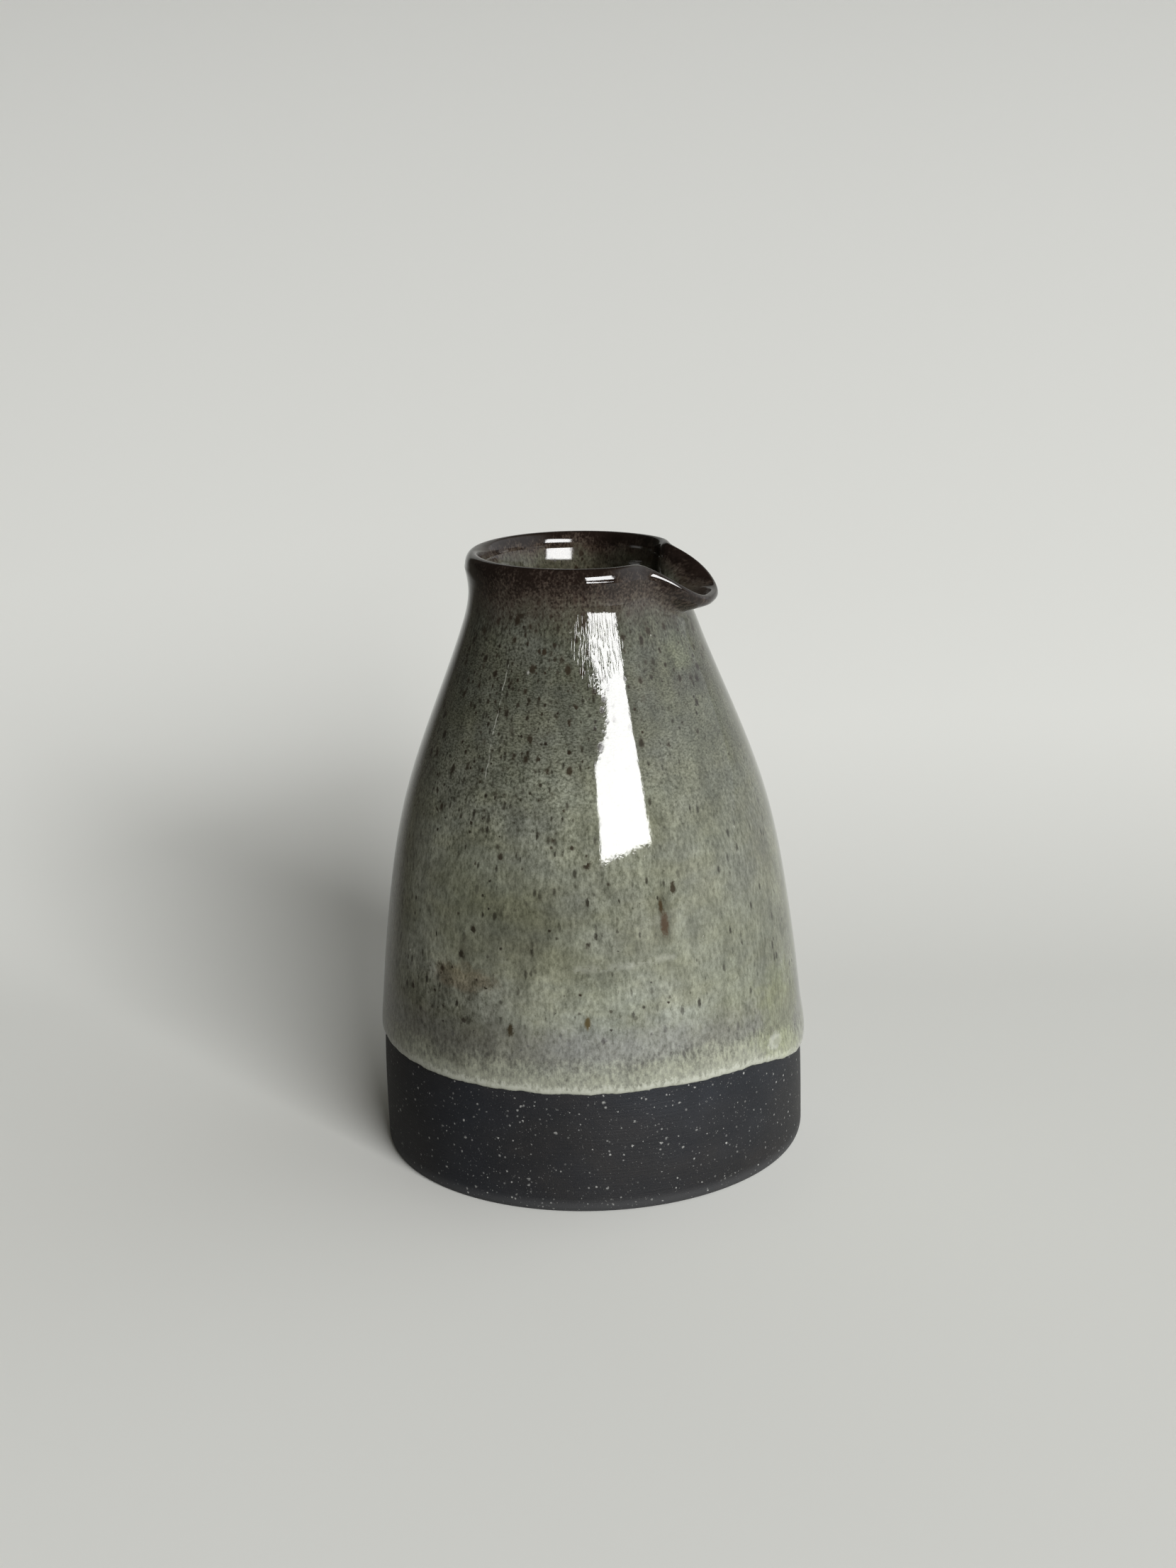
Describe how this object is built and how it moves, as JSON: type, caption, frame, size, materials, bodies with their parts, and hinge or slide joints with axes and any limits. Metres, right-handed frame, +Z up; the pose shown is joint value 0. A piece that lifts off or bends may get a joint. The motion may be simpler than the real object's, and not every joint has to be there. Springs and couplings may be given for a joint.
{
  "type": "milk jug",
  "caption": "Handleless bottle-shaped stoneware milk jug with a pulled rim spout, glazed outside down to a rolled edge above a bare dark clay foot.",
  "frame": {"origin": "centre of the foot, on the surface that the jug stands on", "axes": "+Z up through the mouth, +X towards the pouring spout"},
  "size_m": [0.0717, 0.0711, 0.1003],
  "materials": {
    "stoneware": "bare fired dark stoneware with pale grog specks, matt",
    "outer_glaze": "glossy grey-green glaze with fine vertical mottling, dark iron specks, brown where it runs thin over the rim and pale along its lower edge",
    "liner_glaze": "glossy grey-green liner glaze, brown where it runs thin at the rim"
  },
  "bodies": {
    "root": {"stoneware_body": "stoneware", "outer_glaze": "outer_glaze", "liner_glaze": "liner_glaze"}
  },
  "joints": []
}
